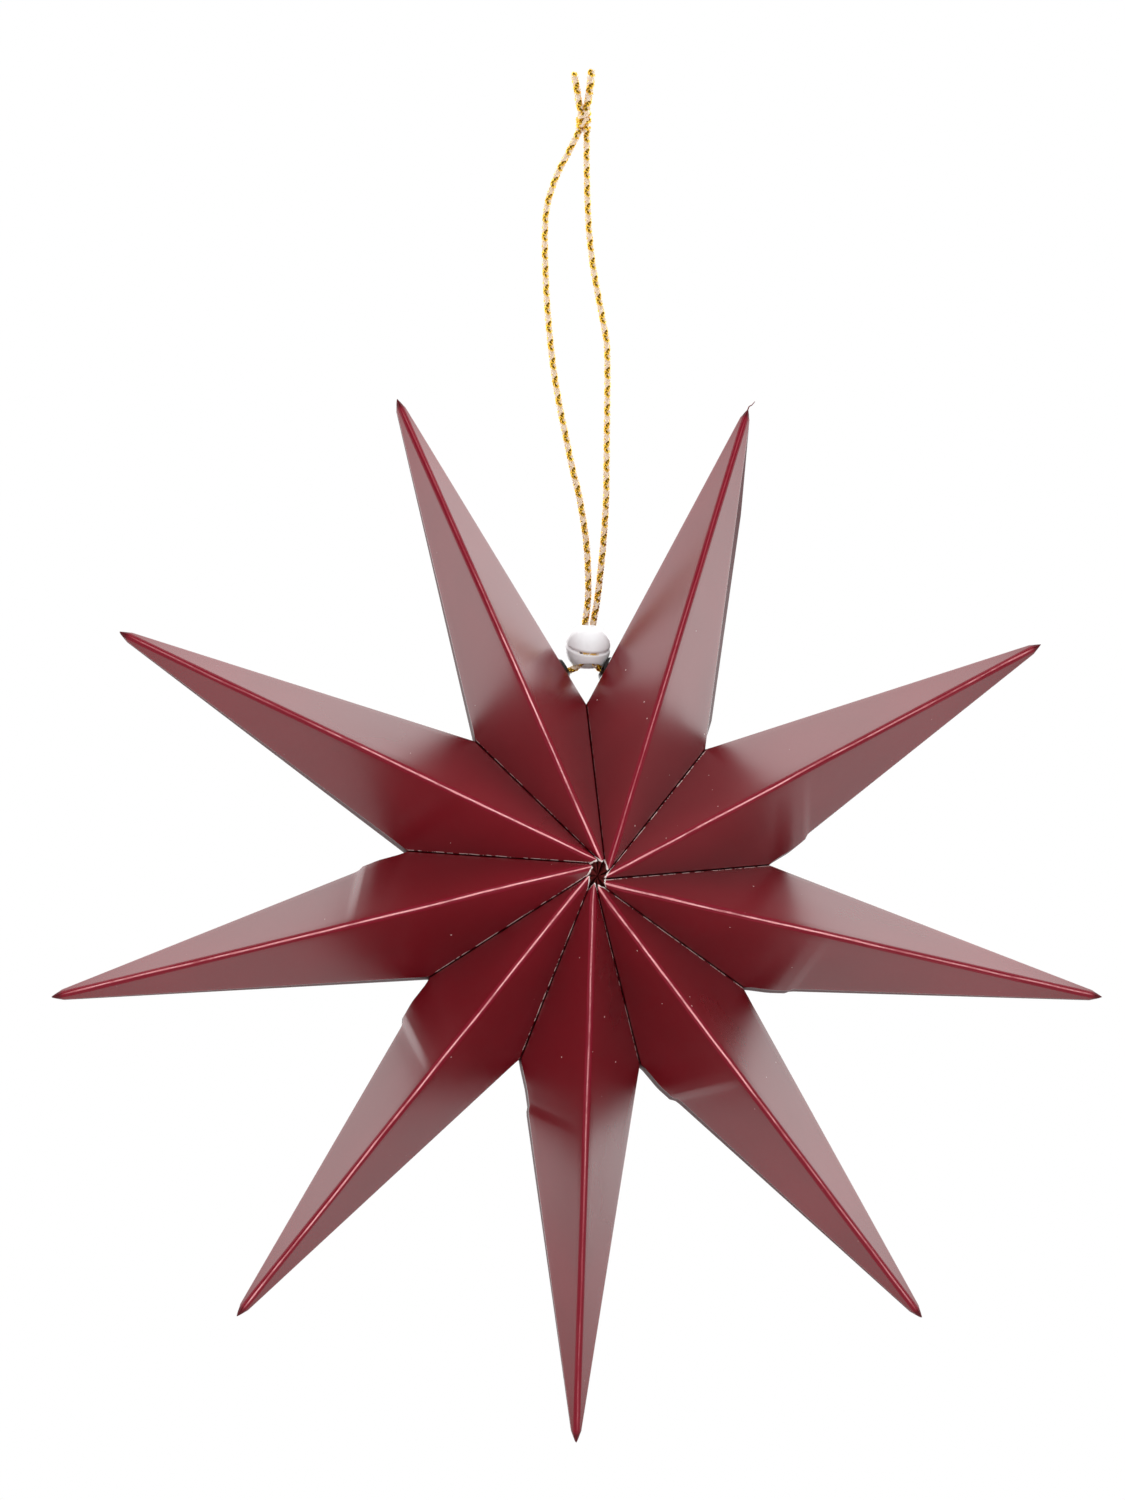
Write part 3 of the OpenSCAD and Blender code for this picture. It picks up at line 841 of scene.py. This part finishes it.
# A torn fibre at the tip of the first point: its root as a share of the tip's place, its way
# right and up from the tip, and its depths, radii and sides
WHISKER_ROOT = 0.996
WHISKER_WAY = ((0.2, 0.5), (0.7, 0.8), (1.3, 1.5))
WHISKER_ROOT_Y, WHISKER_Y = -0.6, -0.8
WHISKER_R, WHISKER_END_R, WHISKER_SIDES = 0.16, 0.07, 5
WHISKER_STEP, WHISKER_RUN = 0.1, 1.9


def add_whisker(shell):
    x, z = tip_p(0)
    places = [(x * WHISKER_ROOT, WHISKER_ROOT_Y, z * WHISKER_ROOT)]
    places += [(x + right, WHISKER_Y, z + up) for right, up in WHISKER_WAY]
    line = smooth_line(hung(places), WHISKER_STEP)
    shell.add_tube(line, np.linspace(WHISKER_R, WHISKER_END_R, len(line)), WHISKER_SIDES, "card",
                   run=WHISKER_RUN, **FAR_AWAY)


def make_point(i):
    shell = Shell("card", "core", "inside", "wall")
    for s in STATIONS:
        outline, marks = whole_section(i, s)
        shell.add_points([in_frame(p) for p in outline], run=s, **marks)
    n = len(outline)
    # The faces of a ring at its two side edges, on the front, on the back and between them
    walls = (0, n // 2 - 2, n // 2 - 1, n // 2, n - 2, n - 1)
    last = len(shell.points) - n
    for low in range(0, last, n):
        shell.add_band(low, low + n, ["wall" if m in walls else "card" for m in range(n)])
    shell.add_face(range(last, last + n), "wall")
    close_hub_end(shell, i, whole_section(i, STATIONS[0])[0], walls)
    if i == 0:
        add_whisker(shell)
    # How strong the painted highlight on this point's crest is, near the hub and out on the point
    shell.attributes["bright"] = np.interp(
        shell.attributes["run"], CREST_RUN,
        [CREST_NEAR[i], CREST_NEAR[i], CREST_FAR[i], CREST_FAR[i]])
    stand_for(shell.build(f"folded_point_{i + 1}"), "card", f"point_{i + 1}")


for index in range(POINTS):
    make_point(index)


def dress_node(node, material):
    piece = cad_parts[node]
    piece.data.materials.clear()
    piece.data.materials.append(MATERIALS[material])


dress_node("eyelet_left", "eyelet")
dress_node("eyelet_right", "eyelet")

# Stage, in metres: a pale floor well under the hanging star, and soft light
FLOOR_Z, FLOOR_HALF = -0.52, 2.4
# Each lamp's name, place, size and power in watts
LAMPS = (("front_lamp", (-0.25, -0.95, 0.28), 0.5, 2.0),
         ("high_lamp", (0.4, -0.3, 1.0), 0.8, 3.5))
# How bright the room is, all round for diffuse light and from front to back in reflections
AMBIENT = 0.88
GLOSS_FRONT, GLOSS_BACK, GLOSS_STEP = 0.01, 2.2, (-0.35, 0.10)
PATCH_BRIGHT, PATCH_STEP = 0.2, (-0.74, -0.60)


def make_floor():
    s = Shader("floor_paper")
    s.set(Base_Color=s.mix(s.noise(40.0, detail=3.0), FLOOR_WHITE, FLOOR_GREY), Roughness=0.8)
    corners = ((-1, -1), (1, -1), (1, 1), (-1, 1))
    mesh = bpy.data.meshes.new("floor")
    mesh.from_pydata([(x * FLOOR_HALF, y * FLOOR_HALF, FLOOR_Z) for x, y in corners], [],
                     [(0, 1, 2, 3)])
    mesh.materials.append(s.material)
    floor = bpy.data.objects.new("floor", mesh)
    bpy.context.scene.collection.objects.link(floor)


def make_world():
    """White behind and beside the star. In reflections the room in front of it is dark, with a
    brighter round patch in the middle."""
    world = bpy.data.worlds.new("studio")
    bpy.context.scene.world = world
    world.use_nodes = True
    w = Nodes(world.node_tree)
    way = w.node("ShaderNodeTexCoord").outputs["Generated"]
    back = w.node("ShaderNodeSeparateXYZ", Vector=way).outputs["Y"]
    room = w.math("ADD", w.ramp(back, *GLOSS_STEP, GLOSS_FRONT, GLOSS_BACK),
                  w.ramp(back, *PATCH_STEP, PATCH_BRIGHT, 0.0))
    rays = w.node("ShaderNodeLightPath").outputs
    light = w.blend(rays["Is Diffuse Ray"], room, AMBIENT)
    background = w.tree.nodes["Background"]
    w.put(background, "Color", (1, 1, 1, 1))
    w.put(background, "Strength", w.blend(rays["Is Camera Ray"], light, 1.0))


def make_lamp(name, place, size, power):
    """A square soft lamp that looks at the middle of the star."""
    data = bpy.data.lights.new(name, "AREA")
    data.shape = "SQUARE"
    data.size = size
    data.energy = power
    lamp = bpy.data.objects.new(name, data)
    lamp.location = place
    target = Vector((0, 0, -DROP * MM))
    lamp.rotation_euler = (target - lamp.location).to_track_quat("-Z", "Y").to_euler()
    lamp.visible_glossy = False
    bpy.context.scene.collection.objects.link(lamp)


make_floor()
make_world()
for lamp in LAMPS:
    make_lamp(*lamp)

bpy.context.scene.view_settings.view_transform = "Standard"
